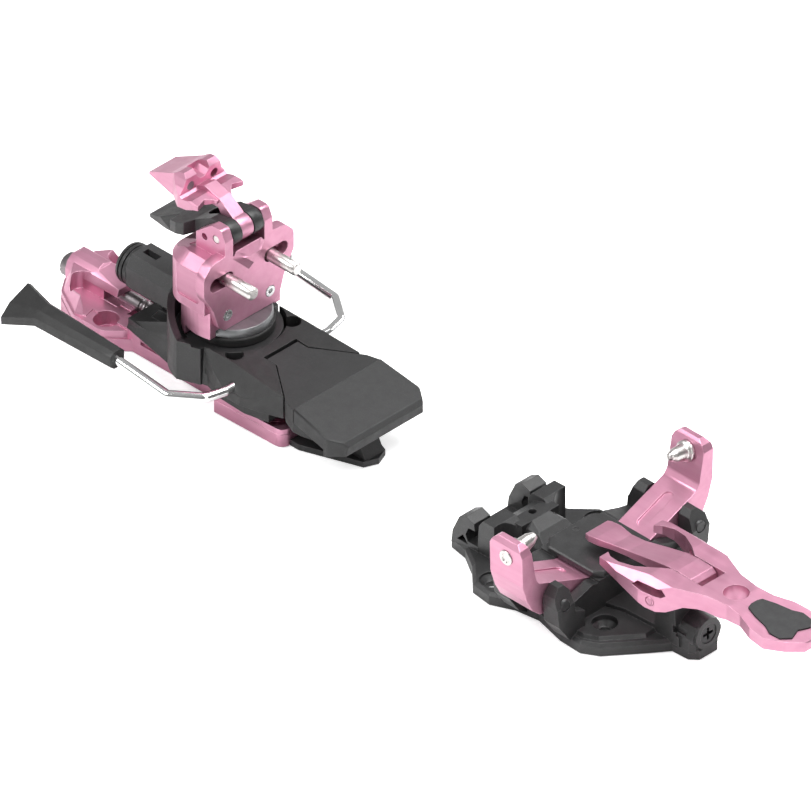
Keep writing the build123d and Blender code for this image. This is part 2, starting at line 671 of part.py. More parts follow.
with BuildPart() as brake_plate:
    with BuildSketch(Plane.XY.offset(15.95)):
        with BuildLine():
            Polyline(*full_plan(deck_half), close=True)
        make_face()
    extrude(amount=11.9)
    # side flanks hang down to the rail
    for side in (1, -1):
        with BuildSketch(Plane.XY.offset(10.0)):
            with BuildLine():
                Polyline(*side_plan(side, deck_flank), close=True)
            make_face()
        extrude(amount=6.2)
    # top falls away towards the front and the sides
    with BuildSketch(Plane.XZ):
        with BuildLine():
            Polyline((20, 27.9), (60, 25.6), (60, 40), (20, 40), close=True)
        make_face()
    extrude(amount=40, both=True, mode=CUT)
    for side in (1, -1):
        with BuildSketch(Plane.YZ.offset(0)):
            with BuildLine():
                Polyline(*side_section(side, deck_bevel), close=True)
            make_face()
        extrude(amount=60, mode=CUT)
    # opening for the bearing tower
    rod_z((0, 0, 10), 20.7, 30, CUT)
    # bay for the pad
    with BuildSketch(Plane.XY.offset(9)):
        with BuildLine():
            Polyline(*full_plan(bay_half), close=True)
        make_face()
    extrude(amount=30, mode=CUT)
    # underside relief above the carriage sole and the wire bar
    block((19.5, 0, 9), (34, 29.4, 13.2), CUT)
    rod_y(brake_x, brake_z, wire_r + run, 60, CUT)
    # bore for the pad hinge pin
    rod_y(pad_pin_x, pad_pin_z, pad_pin_r + 0.02, 27.4, CUT)
    # upright through holes beside the tower opening
    for side in (1, -1):
        rod_z((16.3, side * 15.6, 10), 3.7, 30, CUT)
save(brake_plate.part, "brake_plate")

# moving pad with a tapered tongue, hinged between the deck plate wings
pad_side = [(26.15, 26.5), (26.9, 27.25), (56.5, 25.9), (56.5, 20.0), (74, 16.6),
            (74, 14.2), (60, 14.6), (46, 17.2), (34, 21.4), (25.9, 22.6)]
pad_half = [(25.9, -8.4), (32.2, -8.4), (50.8, -22.0), (56.5, -23.8), (72, -19.5),
            (74, -16)]
with BuildPart() as brake_pad:
    with BuildSketch(Plane.XZ):
        with BuildLine():
            Polyline(*pad_side, close=True)
        make_face()
    extrude(amount=30, both=True)
    with BuildSketch(Plane.XY.offset(5)):
        with BuildLine():
            Polyline(*full_plan(pad_half), close=True)
        make_face()
    extrude(amount=40, mode=Mode.INTERSECT)
    rod_y(pad_pin_x, pad_pin_z, pad_pin_r + run, 18, CUT)
save(brake_pad.part, "brake_pad")

# soft shoe on the front of the pad
shoe_side = [(56.7, 26.3), (81.5, 21.4), (83.2, 19.6), (82.6, 15.4), (74.3, 13.9),
             (74.3, 16.8), (56.7, 20.2)]
with BuildPart() as pad_shoe:
    with BuildSketch(Plane.XZ):
        with BuildLine():
            Polyline(*shoe_side, close=True)
        make_face()
    extrude(amount=30, both=True)
    with BuildSketch(Plane.XY.offset(5)) as sketch:
        with BuildLine():
            Polyline(*full_plan([(56.7, -24.0), (76.5, -25.2), (83.4, -20.4)]),
                     close=True)
        make_face()
        fillet([v for v in sketch.vertices() if v.X > 60], radius=3.0)
    extrude(amount=40, mode=Mode.INTERSECT)
    fillet([e for e in pad_shoe.edges() if e.center().Z > 20.9
            and (abs(e.center().Y) > 21 or e.center().X > 81)], radius=0.8)
save(pad_shoe.part, "pad_shoe")

with BuildPart() as pad_pin:
    rod_y(pad_pin_x, pad_pin_z, pad_pin_r, 27)
save(pad_pin.part, "pad_pin")

# one bent wire: cross bar, two cranked arms, ends buried in the feet
wire_half = [               # (x, y, z) from the right end to the cross bar
    (-38, -45.6, 23.4), (-19.9, -45.6, 23.6), (9.9, -45.8, 20.6),
    (21.9, -37.1, 20.9), (brake_x, -28.0, brake_z)]
with BuildPart() as brake_wire:
    with BuildLine() as wire_path:
        FilletPolyline(*wire_half, *[(x, -y, z) for x, y, z in reversed(wire_half)],
                       radius=3.2)
    with BuildSketch(Plane(origin=wire_half[0], z_dir=(18.1, 0, 0.2))):
        Circle(wire_r)
    sweep(path=wire_path.line)
save(brake_wire.part, "brake_wire")

# foot sections from the front neck to the rear paddle: x, then the left outline
foot_sections = [
    (-17.5, [(49.2, 21.4), (49.2, 26.0), (47.2, 27.6), (43.6, 27.6),
             (41.8, 26.0), (41.8, 21.4), (43.6, 19.8), (47.2, 19.8)]),
    (-59, [(49.6, 20.6), (49.2, 24.2), (47.0, 26.8), (42.6, 28.0),
           (40.8, 26.8), (41.2, 22.8), (43.2, 20.2), (47.2, 19.2)]),
    (-76, [(51.0, 13.6), (51.2, 17.2), (46.5, 21.8), (36.5, 26.0),
           (34.6, 24.6), (35.4, 21.8), (43.0, 15.4), (47.6, 12.6)]),
]


def brake_foot(side, name):
    """Moulded foot, round neck opening into a flat paddle, bored for the wire."""
    with BuildPart() as foot:
        for station_x, outline in foot_sections:
            with BuildSketch(Plane.YZ.offset(station_x)):
                with BuildLine():
                    Polyline(*side_section(side, outline), close=True)
                make_face()
        loft(ruled=True)
        bore_end = (-38.2, side * 45.6, 23.4)
        with BuildLine() as bore_path:
            Polyline(bore_end, (-19.9, side * 45.6, 23.6), (9.9, side * 45.8, 20.6))
        with BuildSketch(Plane(origin=bore_end, z_dir=(18.3, 0, 0.2))):
            Circle(wire_r + 0.02)
        sweep(path=bore_path.line, transition=Transition.ROUND, mode=CUT)
    save(foot.part, name)


brake_foot(-1, "brake_foot_right")
brake_foot(1, "brake_foot_left")

# ================================================================ toe unit
base_half = [(138, -19.2), (147, -20.8), (156.5, -26.6), (165.2, -34.8), (175, -36.0),
             (185, -31.6), (196, -30.0), (211, -33.6), (222, -34.0), (229, -30.0),
             (241, -15.0), (246, -8.2), (254, -7.8), (257.4, -4.8)]
tray_half = [(211, -31.0), (221, -31.4), (226.6, -28.4), (238, -14.0)]
hook_side = [(138.2, 3), (139.0, 9.0), (142.6, 16.8), (146.4, 18.8), (150.6, 17.2),
             (151.0, 14.0), (147.6, 13.8), (146.0, 10.2), (147.2, 7.4), (153.0, 7.4),
             (153.0, 3)]
tall_block_side = [(152.2, 3), (153.0, 17.6), (155.2, 20.6), (161.2, 20.8),
                   (166.0, 17.2), (168.5, 3)]
hump_side = [(151, 4), (152.5, 12.5), (156, 17.2), (160.5, 19.4), (167, 19.6),
             (173, 18.0), (178.5, 13.8), (183, 11.5), (183, 4)]
hump_bevel = [(3.6, 21), (4.4, 19.7), (7.6, 17.4), (9.6, 12.5), (10.0, 6.0),
              (11.5, 6.0), (11.5, 21)]
rib_plan = [(160, 9.0), (164, 9.0), (184, 26.0), (184, 31.0), (178, 27.0)]
post_section = [(26.0, 3.6), (26.6, 14.0), (31.6, 16.0), (32.6, 25.6), (34.6, 28.2),
                (37.6, 28.2), (40.8, 25.0), (41.4, 20.6), (40.4, 12.4), (35.0, 4.4),
                (30.0, 1.0)]
wall_section = [(15.4, 4), (15.4, 19.4), (19.0, 20.2), (27.4, 17.4), (32.0, 16.4),
                (32.0, 4)]
deck_step_half = [(213, -12), (222, -9.5), (238, -8.6), (250, -8.6)]
lug_side = [(236.0, 4), (239.2, 23.5), (240.4, 29.2), (242.4, 30.6), (244.8, 30.6),
            (246.6, 29.2), (247.0, 25.5), (248.2, 13.0), (248.2, 4)]
nose_half = [(-7.8, 3), (-7.8, 9.4), (-5.4, 14.2), (-2.6, 15.8)]
post_rear_x, post_front_x = 182.2, 217.2     # outer ends of the post pairs
cross_walls = ((186.4, 8.4), (211.5, 4.6))   # mid x and thickness
base_top = 5.2              # top of the toe ski plate

with BuildPart() as toe_base:
    # ski plate with waisted outline
    with BuildSketch(Plane.XY):
        with BuildLine():
            Polyline(*full_plan(base_half), close=True)
        make_face()
    extrude(amount=base_top)
    chamfer(toe_base.faces().sort_by(Axis.Z)[-1].edges(), length=1.3)
    # raised inner tray at the front, leaving a rim ledge
    with BuildSketch(Plane.XY.offset(base_top)):
        with BuildLine():
            Polyline(*full_plan(tray_half), close=True)
        make_face()
    extrude(amount=1.4, taper=35)
    # crampon hooks curling forward
    for side in (1, -1):
        with BuildSketch(Plane.XZ.offset(-side * 15.2)):
            with BuildLine():
                Polyline(*hook_side, close=True)
            make_face()
        extrude(amount=4.4, both=True)
        # moulded pocket in the outer face of each hook
        with BuildSketch(Plane.XZ.offset(-side * 19.6)):
            with BuildLine():
                Polyline((141.4, 6.0), (147.4, 6.0), (144.6, 9.4), close=True)
            make_face()
        extrude(amount=2.6, both=True, mode=CUT)
        # tall blocks in front of the hooks, scooped towards the arms
        with BuildSketch(Plane.XZ.offset(-side * 13.4)):
            with BuildLine():
                Polyline(*tall_block_side, close=True)
            make_face()
        extrude(amount=6.0, both=True)
        rod_z((169.8, side * 17.2, base_top), 8.8, 20, CUT)
    # central hump behind the arms, bevelled towards the front
    with BuildSketch(Plane.XZ):
        with BuildLine():
            Polyline(*hump_side, close=True)
        make_face()
    extrude(amount=10.2, both=True)
    for side in (1, -1):
        with BuildSketch(Plane.YZ.offset(167)):
            with BuildLine():
                Polyline(*side_section(side, hump_bevel), close=True)
            make_face()
        extrude(amount=17, mode=CUT)
    rod_z((162.6, 0, 20), 1.7, 9, CUT, TOP)
    # flared ribs from the hump to the rear posts
    for side in (1, -1):
        with BuildSketch(Plane.XY.offset(4.0)):
            with BuildLine():
                Polyline(*side_plan(side, rib_plan), close=True)
            make_face()
        extrude(amount=4.2, taper=12)
    # posts with faceted crowns, rear pair and front pair
    for post_start, post_end in ((post_rear_x, 190.6), (209.2, post_front_x)):
        for side in (1, -1):
            with BuildSketch(Plane.YZ.offset(post_start)):
                with BuildLine():
                    Polyline(*side_section(side, post_section), close=True)
                make_face()
            extrude(amount=post_end - post_start)
    # bevelled crowns of the posts, sloping down away from the arms
    for outer_x, crown_x, inward in ((post_rear_x, 186.0, 1), (post_front_x, 213.0, -1)):
        with BuildSketch(Plane.XZ):
            with BuildLine():
                Polyline((outer_x - 4 * inward, 17.0), (outer_x + 0.4 * inward, 21.0),
                         (crown_x, 30.0), (crown_x, 34), (outer_x - 4 * inward, 34),
                         close=True)
            make_face()
        extrude(amount=60, both=True, mode=CUT)
    # cross walls carrying the cover
    for wall_x, thickness in cross_walls:
        block((wall_x, 0, 4), (thickness, 31.0, 16.4))
    for wall_x, thickness in cross_walls:
        for side in (1, -1):
            with BuildSketch(Plane.YZ.offset(wall_x - thickness / 2)):
                with BuildLine():
                    Polyline(*side_section(side, wall_section), close=True)
                make_face()
            extrude(amount=thickness)
    # raised deck along the centre, between the front holes
    with BuildSketch(Plane.XY.offset(4.0)):
        with BuildLine():
            Polyline(*full_plan(deck_step_half), close=True)
        make_face()
    extrude(amount=4.4)
    # lever lug
    with BuildSketch(Plane.XZ):
        with BuildLine():
            Polyline(*lug_side, close=True)
        make_face()
    extrude(amount=8.6, both=True)
    # nose with its front corners cut off
    with BuildSketch(Plane.YZ.offset(244.0)):
        with BuildLine():
            Polyline(*full_section(nose_half), close=True)
        make_face()
    extrude(amount=12.4)
    with BuildSketch(Plane.XY.offset(1)):
        with BuildLine():
            Polyline((253.4, -9), (260, -2.4), (260, -12), (253.4, -12), close=True)
        make_face()
        with BuildLine():
            Polyline((253.4, 9), (260, 2.4), (260, 12), (253.4, 12), close=True)
        make_face()
    extrude(amount=7.0, mode=CUT)
    # raised barrel of the adjuster with side pockets
    rod_x((243.0, 0, nose_z), 6.6, 14.4)
    for side in (1, -1):
        block((249.6, side * 7.6, 11.4), (6.0, 2.2, 3.0), CUT, CENTRE)
    rod_x((251.0, 0, nose_z), 4.3, 20, CUT)
    # mounting holes with deep conical screw seats
    for hole_x, hole_y in (toe_front_hole, toe_rear_hole):
        for side in (1, -1):
            with Locations((hole_x, side * hole_y, 2.4)):
                Cone(3.2, mount_head_r, 1.8, align=BASE, mode=CUT)
            rod_z((hole_x, side * hole_y, 4.2), mount_head_r, 6, CUT)
            rod_z((hole_x, side * hole_y, 3), mount_hole_r, 10, CUT, CENTRE)
    # pivot bores and lever hinge bore
    for side in (1, -1):
        rod_x((180, side * arm_y, arm_z), arm_pivot_r + 0.02, 40, CUT)
    rod_y(lever_x, lever_z + lever_lift, lever_pin_r + 0.02, 20, CUT)
save(toe_base.part, "toe_base")

# polygonal centre cover over the inner ends of the arms
cover_half = [(182.4, -11), (186.5, -15.6), (210.5, -15.6), (213.7, -12.5)]
with BuildPart() as centre_cover:
    with BuildSketch(Plane.XY.offset(cover_z)):
        with BuildLine():
            Polyline(*full_plan(cover_half), close=True)
        make_face()
    extrude(amount=2.6)
    chamfer(centre_cover.faces().sort_by(Axis.Z)[-1].edges(), length=0.6)
    rod_z((cover_screw_x, 0, 20), 1.25, 3.4, CUT)
save(centre_cover.part, "centre_cover")

with BuildPart() as cover_screw:
    rod_z((cover_screw_x, 0, cover_z), 1.22, 2.4)
save(cover_screw.part, "cover_screw")

# pivot pins of the two arms
with BuildPart() as toe_pivot_pins:
    for side in (1, -1):
        rod_x((182.6, side * arm_y, arm_z), arm_pivot_r, 34.4)
    chamfer(toe_pivot_pins.edges().filter_by(GeomType.CIRCLE), length=0.4)
save(toe_pivot_pins.part, "toe_pivot_pins")

# cross-recess adjuster in the nose
with BuildPart() as nose_screw:
    rod_x((251.1, 0, nose_z), 4.25, 6.0)
    block((257.1, 0, nose_z), (3.6, 5.4, 1.3), CUT, CENTRE)
    block((257.1, 0, nose_z), (3.6, 1.3, 5.4), CUT, CENTRE)
save(nose_screw.part, "nose_screw")

# toe springs under the inner parts of the arms
with BuildPart() as toe_springs:
    for side in (1, -1):
        with BuildLine() as coil:
            Helix(pitch=1.9, height=6.9, radius=3.2, center=(200, side * 20, 6.1))
        with BuildSketch(Plane(origin=coil.line @ 0, z_dir=coil.line % 0)):
            Circle(0.6)
        sweep(path=coil.line)
save(toe_springs.part, "toe_springs")

# left arm seen along the ski, and the side view that trims its boss
arm_section = [(9, 15.2), (9, 19.0), (17, 20.0), (42.6, 30.2), (44.3, 32.8),
               (47.2, 49.2), (48.2, 50.4), (50.6, 50.2), (52.0, 48.0), (51.6, 32.5),
               (49.2, 24.6), (46.2, 19.0), (42.0, 15.4), (36.7, 14.4), (31, 16.6),
               (14, 13.8)]
boss_side = [(arm_x0, 10), (arm_x0, 46.0), (192.6, 48.6), (195.4, 50.6),
             (204.4, 50.6), (207.2, 48.6), (arm_x1, 46.0), (arm_x1, 10)]
# direction of the left toe pin, inward and upward
pin_dir_y = -math.cos(math.radians(toe_pin_rise))
pin_dir_z = math.sin(math.radians(toe_pin_rise))


def toe_arm(side, name):
    """Toe arm: sloping strap with an upright boss."""
    with BuildPart() as arm:
        with BuildSketch(Plane.YZ.offset(arm_x0)):
            with BuildLine():
                Polyline(*side_section(side, arm_section), close=True)
            make_face()
        extrude(amount=arm_x1 - arm_x0)
        with BuildSketch(Plane.XZ):
            with BuildLine():
                Polyline(*boss_side, close=True)
            make_face()
        extrude(amount=60, both=True, mode=Mode.INTERSECT)
        fillet([e for e in arm.edges().filter_by(Axis.X)
                if e.center().Z > 28 and side * e.center().Y < 46], radius=2.2)
        # shallow groove along the strap
        with BuildSketch(Plane(origin=((arm_x0 + arm_x1) / 2, side * 29, 24.9),
                               x_dir=(1, 0, 0), z_dir=(0, -side * 0.37, 0.93))):
            SlotCenterToCenter(14, 4.6, rotation=90)
        extrude(amount=0.9, both=True, mode=CUT)
        rod_x((180, side * arm_y, arm_z), arm_pivot_r + run, 40, CUT)
        # bore for the toe pin stud
        with BuildSketch(Plane(origin=(toe_pin_x, side * toe_pin_y, toe_pin_z),
                               x_dir=(1, 0, 0),
                               z_dir=(0, -side * pin_dir_y, -pin_dir_z)).offset(-3)):
            Circle(toe_pin_r + 0.02)
        extrude(amount=14, mode=CUT)
    save(arm.part, name)


toe_arm(1, "toe_arm_left")
toe_arm(-1, "toe_arm_right")

toe_pin_profile = [         # (radius, distance inward from the seat)
    (0, -5.6), (toe_pin_r, -5.6), (toe_pin_r, 0.08), (4.4, 0.08), (4.4, 1.5),
    (3.3, 2.2), (2.7, 7.2), (1.6, 9.6), (0.8, 10.0), (0, 10.0)]


def toe_pin(side, name):
    """Toe pin: stud, flange and blunt cone."""
    seat = (toe_pin_x, side * toe_pin_y, toe_pin_z)
    with BuildPart() as pin:
        with BuildSketch(Plane(origin=seat, x_dir=(1, 0, 0),
                               z_dir=(0, -pin_dir_z, side * pin_dir_y))):
            with BuildLine():
                Polyline(*toe_pin_profile, close=True)
            make_face()
        revolve(axis=Axis(seat, (0, side * pin_dir_y, pin_dir_z)), revolution_arc=360)
    save(pin.part, name)


toe_pin(1, "toe_pin_left")
toe_pin(-1, "toe_pin_right")

# ================================================================ toe lever
# The lever group is drawn low and raised by lever_lift as it is saved.
lift = Location((0, 0, lever_lift))
insert_half = [             # in the tilted frame of the finger insert
    (-13.0, -1.6), (-12.2, -3.9), (-6.6, -5.8), (0.4, -7.3), (4.4, -9.3),
    (9.6, -8.8), (12.6, -5.0), (10.6, 0.0)]
insert_frame = Plane(origin=(294.2, 0, 33.6), x_dir=(1, 0, -0.0563),
                     z_dir=(0.0563, 0, 1))
lever_side = [(215.6, 31.4), (226, 32.7), (240, 34.5), (276, 34.6), (296, 33.5),
              (311.6, 32.6), (312.6, 31.2), (311.6, 28.2), (298, 28.4), (284, 29.0),
              (271, 26.8), (262, 27.2), (256.5, 26.2), (250, 22.2), (246.4, 21.4),
              (241.2, 21.4), (236, 23.2), (226, 26.6), (215.6, 28.0)]
lever_half = [(215.4, -17.0), (226, -18.8), (238, -19.0), (246, -17.8), (256, -13.4),
              (265, -9.8), (275, -8.4), (283, -9.2), (291, -12.2), (299, -13.0),
              (306, -8.6), (312.0, -2.6)]
fork_half = [(210, -12.2), (215.4, -12.2), (218.5, -14.2), (224, -15.2), (231, -14.0),
             (238, -10.2), (243.5, -6.3), (260, -6.3)]
lever_facet = [(13.4, 36), (15.4, 34.0), (19.4, 30.4), (24, 30.4), (24, 36)]
window_side = [(234.6, 29.4), (240, 28.3), (248.2, 28.3), (250.0, 29.6), (248.6, 32.2),
               (237, 31.6)]

with BuildPart() as toe_lever:
    with BuildSketch(Plane.XZ):
        with BuildLine():
            Polyline(*lever_side, close=True)
        make_face()
    extrude(amount=22, both=True)
    # plan: two rear prongs, waist and faceted finger end
    with BuildSketch(Plane.XY) as sketch:
        with BuildLine():
            Polyline(*full_plan(lever_half), close=True)
        make_face()
        fillet([v for v in sketch.vertices() if v.X > 250], radius=2.2)
    extrude(amount=60, mode=Mode.INTERSECT)
    # open fork with crescents, narrowing to the tongue slot
    with BuildSketch(Plane.XY):
        with BuildLine():
            Polyline(*full_plan(fork_half), close=True)
        make_face()
    extrude(amount=60, mode=CUT)
    # pocket around the base lug
    block((240.2, 0, 10), (16.6, 18.0, 19.2), CUT)
    # falling outer facets along prongs and body
    for side in (1, -1):
        with BuildSketch(Plane.YZ.offset(213)):
            with BuildLine():
                Polyline(*side_section(side, lever_facet), close=True)
            make_face()
        extrude(amount=46, mode=CUT)
    # side windows through both prongs
    with BuildSketch(Plane.XZ):
        with BuildLine():
            Polyline(*window_side, close=True)
        make_face()
    extrude(amount=30, both=True, mode=CUT)
    # round hole through the waist, then the two hinge bores
    rod_z((272.0, 0, 20), 5.1, 40, CUT, CENTRE)
    rod_y(lever_x, lever_z, lever_pin_r + run, 40, CUT)
    rod_y(tongue_x, tongue_z, tongue_pin_r + 0.02, 23.2, CUT)
    # recess for the finger insert
    with BuildSketch(insert_frame.offset(-1.6)):
        with BuildLine():
            Polyline(*full_plan(insert_half), close=True)
        make_face()
    extrude(amount=8, mode=CUT)
save(toe_lever.part.moved(lift), "toe_lever")

# soft finger insert, a little smaller than its recess
with BuildPart() as lever_insert:
    with BuildSketch(insert_frame.offset(-1.58)):
        with BuildLine():
            Polyline(*full_plan(insert_half), close=True)
        make_face()
        offset(amount=-0.12, mode=Mode.REPLACE)
    extrude(amount=2.2)
save(lever_insert.part.moved(lift), "lever_insert")

# hinge pins of lever and tongue
with BuildPart() as lever_pin:
    rod_y(lever_x, lever_z, lever_pin_r, 33.8)
    chamfer(lever_pin.edges().filter_by(GeomType.CIRCLE), length=0.3)
save(lever_pin.part.moved(lift), "lever_pin")

with BuildPart() as tongue_pin:
    rod_y(tongue_x, tongue_z, tongue_pin_r, 22.8)
save(tongue_pin.part.moved(lift), "tongue_pin")

# rear tongue of the lever, reaching back over the centre cover
tongue_side = [(196.8, 25.2), (197.2, 27.6), (203, 28.4), (211, 28.6), (219, 29.6),
               (231, 32.2), (240, 34.0), (246, 34.5), (253.5, 34.3), (255.6, 32.6),
               (256.0, 30.4), (255.0, 28.2), (252.5, 27.4), (249.4, 29.1),
               (239, 29.1), (231, 27.9), (214, 26.2), (199.5, 25.0)]
tongue_half = [(196.6, -5.8), (199, -6.5), (204, -6.4), (211, -5.0), (218, -4.7),
               (228, -5.2), (240, -5.9), (258, -5.9)]
with BuildPart() as lever_tongue:
    with BuildSketch(Plane.XZ):
        with BuildLine():
            Polyline(*tongue_side, close=True)
        make_face()
    extrude(amount=8.0, both=True)
    with BuildSketch(Plane.XY):
        with BuildLine():
            Polyline(*full_plan(tongue_half), close=True)
        make_face()
    extrude(amount=60, mode=Mode.INTERSECT)
    rod_y(tongue_x, tongue_z, tongue_pin_r + run, 18, CUT)
save(lever_tongue.part.moved(lift), "lever_tongue")
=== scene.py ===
"""Looks for a binding with toe and heel pieces, a brake and a lever, on a pale paper floor.

Units are metres. X runs from the heel (near 0) forward to the toe lever, +Y is the left
side and +Z is up.
"""
import json
import math

import bmesh
import bpy
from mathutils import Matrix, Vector


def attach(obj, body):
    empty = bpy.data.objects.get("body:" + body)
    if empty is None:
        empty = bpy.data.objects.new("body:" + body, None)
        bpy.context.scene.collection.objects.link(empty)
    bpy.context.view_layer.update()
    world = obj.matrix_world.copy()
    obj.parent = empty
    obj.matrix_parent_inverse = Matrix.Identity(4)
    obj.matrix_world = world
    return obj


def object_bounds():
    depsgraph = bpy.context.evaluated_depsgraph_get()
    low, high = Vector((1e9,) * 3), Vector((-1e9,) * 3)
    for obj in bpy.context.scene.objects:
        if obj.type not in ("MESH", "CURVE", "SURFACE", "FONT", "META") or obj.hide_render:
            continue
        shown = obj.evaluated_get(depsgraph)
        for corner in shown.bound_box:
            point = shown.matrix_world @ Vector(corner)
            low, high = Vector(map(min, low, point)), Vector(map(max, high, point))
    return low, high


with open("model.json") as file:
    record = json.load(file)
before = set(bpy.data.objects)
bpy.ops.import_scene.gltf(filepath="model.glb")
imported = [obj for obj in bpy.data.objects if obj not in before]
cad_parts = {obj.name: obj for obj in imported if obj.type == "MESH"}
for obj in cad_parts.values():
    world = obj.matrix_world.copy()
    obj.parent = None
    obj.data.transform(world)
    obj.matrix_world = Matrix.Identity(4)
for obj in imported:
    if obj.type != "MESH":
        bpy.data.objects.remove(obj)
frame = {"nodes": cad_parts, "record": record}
cad_lo, cad_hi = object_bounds()
scene = bpy.context.scene

SIDES = (("left", 1), ("right", -1))  # name, sign of y
Z_UP = Vector((0, 0, 1))


# ------------------------------------------------------------------ shader graph
class Graph:
    """One material with a Principled shader, and short methods that wire its nodes."""

    def __init__(self, name):
        self.mat = bpy.data.materials.new(name)
        self.mat.use_nodes = True
        self.tree = self.mat.node_tree
        self.tree.nodes.clear()
        output = self.add("ShaderNodeOutputMaterial")
        self.bsdf = self.add("ShaderNodeBsdfPrincipled")
        self.link(self.bsdf.outputs["BSDF"], output.inputs["Surface"])
        self.coords = self.add("ShaderNodeTexCoord").outputs["Object"]

    def add(self, kind, **props):
        node = self.tree.nodes.new(kind)
        for key, value in props.items():
            setattr(node, key, value)
        return node

    def link(self, source, socket):
        self.tree.links.new(source, socket)

    def feed(self, socket, value):
        """Link a socket, or store a number or an RGB colour in it."""
        if isinstance(value, (int, float)):
            socket.default_value = value
        elif isinstance(value, tuple):
            socket.default_value = (*value, 1.0)
        else:
            self.link(value, socket)

    def noise(self, scale, detail=3.0, rough=0.55, stretch=None):
        """Noise in object space; a low stretch value draws it out along that axis."""
        source = self.coords
        if stretch:
            mapping = self.add("ShaderNodeMapping")
            mapping.inputs["Scale"].default_value = stretch
            self.link(source, mapping.inputs["Vector"])
            source = mapping.outputs["Vector"]
        node = self.add("ShaderNodeTexNoise")
        node.inputs["Scale"].default_value = scale
        node.inputs["Detail"].default_value = detail
        node.inputs["Roughness"].default_value = rough
        self.link(source, node.inputs["Vector"])
        return node.outputs["Fac"]

    def noise_range(self, scale, to=(0.0, 1.0), source=(0.3, 0.7), **noise):
        """Noise whose source range is spread over the range `to`."""
        value = self.noise(scale, **noise)
        node = self.add("ShaderNodeMapRange")
        node.inputs["From Min"].default_value = source[0]
        node.inputs["From Max"].default_value = source[1]
        node.inputs["To Min"].default_value = to[0]
        node.inputs["To Max"].default_value = to[1]
        self.link(value, node.inputs["Value"])
        return node.outputs["Result"]

    def mix(self, factor, first, second):
        node = self.add("ShaderNodeMix", data_type="RGBA")
        # sockets 0, 6 and 7 are the factor and the two colours; output 2 is the colour
        for index, value in ((0, factor), (6, first), (7, second)):
            self.feed(node.inputs[index], value)
        return node.outputs[2]

    def maths(self, operation, first, second, clamp=False):
        node = self.add("ShaderNodeMath", operation=operation, use_clamp=clamp)
        self.feed(node.inputs[0], first)
        self.feed(node.inputs[1], second)
        return node.outputs[0]

    def tint(self, colour, towards, mask, amount):
        """Move a colour towards another where the mask is white."""
        return self.mix(self.maths("MULTIPLY", mask, amount), colour, towards)

    def edge_mask(self, radius, gain):
        """Mask, white where the surface turns within the radius, and the rounded normal."""
        rounded = self.add("ShaderNodeBevel", samples=4)
        rounded.inputs["Radius"].default_value = radius
        geometry = self.add("ShaderNodeNewGeometry")
        dot = self.add("ShaderNodeVectorMath", operation="DOT_PRODUCT")
        self.link(rounded.outputs["Normal"], dot.inputs[0])
        self.link(geometry.outputs["Normal"], dot.inputs[1])
        turn = self.maths("SUBTRACT", 1.0, dot.outputs["Value"])
        return self.maths("MULTIPLY", turn, gain, clamp=True), rounded.outputs["Normal"]

    def bump(self, height, strength, distance, normal):
        node = self.add("ShaderNodeBump")
        node.inputs["Strength"].default_value = strength
        node.inputs["Distance"].default_value = distance
        self.link(height, node.inputs["Height"])
        self.link(normal, node.inputs["Normal"])
        self.link(node.outputs["Normal"], self.bsdf.inputs["Normal"])

    def set(self, **values):
        """Feed Principled inputs; underscores stand for spaces."""
        for key, value in values.items():
            self.feed(self.bsdf.inputs[key.replace("_", " ")], value)


# ------------------------------------------------------------------ surface kinds
LINES_ALONG_X = (0.08, 1.0, 1.0)
LINES_ALONG_Z = (1.0, 1.0, 0.1)


def grey(value):
    return (value, value, value)


def darker(colour, factor):
    return tuple(c * factor for c in colour)


def anodised(name, base, light, deep, rough, metal=0.86):
    """Bead-blasted, dyed anodised aluminium; its paler edges are partly wear and partly a
    painted highlight.
    """
    g = Graph(name)
    cloud = g.noise_range(38.0, detail=4.0, rough=0.6)
    streak = g.noise_range(420.0, detail=2.0, rough=0.5, stretch=(0.12, 1.0, 1.0))
    colour = g.mix(cloud, deep, base)
    colour = g.tint(colour, light, mask=streak, amount=0.10)
    edge, soft = g.edge_mask(radius=0.00035, gain=5.0)
    patches = g.noise_range(900.0, to=(0.15, 0.75), detail=3.0, rough=0.7)
    # paler edges: partly worn anodising, partly a painted highlight along the edges
    colour = g.tint(colour, light, mask=edge, amount=patches)
    grain = g.noise(5200.0, detail=2.0, rough=0.6)
    g.set(Base_Color=colour, Metallic=metal, IOR=1.5,
          Roughness=g.noise_range(160.0, to=rough, detail=3.0, rough=0.6),
          Coat_Weight=0.06, Coat_Roughness=0.30)
    g.bump(grain, strength=0.16, distance=0.00006, normal=soft)
    return g.mat


def moulded(name, base, worn, rough=(0.42, 0.60)):
    """Glass-filled nylon: fine spark-eroded grain, scuffed corners, slight dust."""
    g = Graph(name)
    cloud = g.noise_range(60.0, detail=4.0, rough=0.65)
    colour = g.mix(cloud, darker(base, 0.80), base)
    edge, soft = g.edge_mask(radius=0.0004, gain=4.0)
    scuffs = g.noise_range(700.0, to=(0.1, 0.9), detail=4.0, rough=0.7)
    colour = g.tint(colour, worn, mask=edge, amount=scuffs)
    dust = g.noise_range(3800.0, to=(0.0, 0.35), source=(0.62, 0.74), detail=1.0, rough=0.5)
    colour = g.mix(dust, colour, worn)
    g.set(Base_Color=colour, Metallic=0.0, IOR=1.52,
          Roughness=g.noise_range(240.0, to=rough, detail=3.0, rough=0.6))
    grain = g.noise(2600.0, detail=3.0, rough=0.7)
    g.bump(grain, strength=0.28, distance=0.00010, normal=soft)
    return g.mat


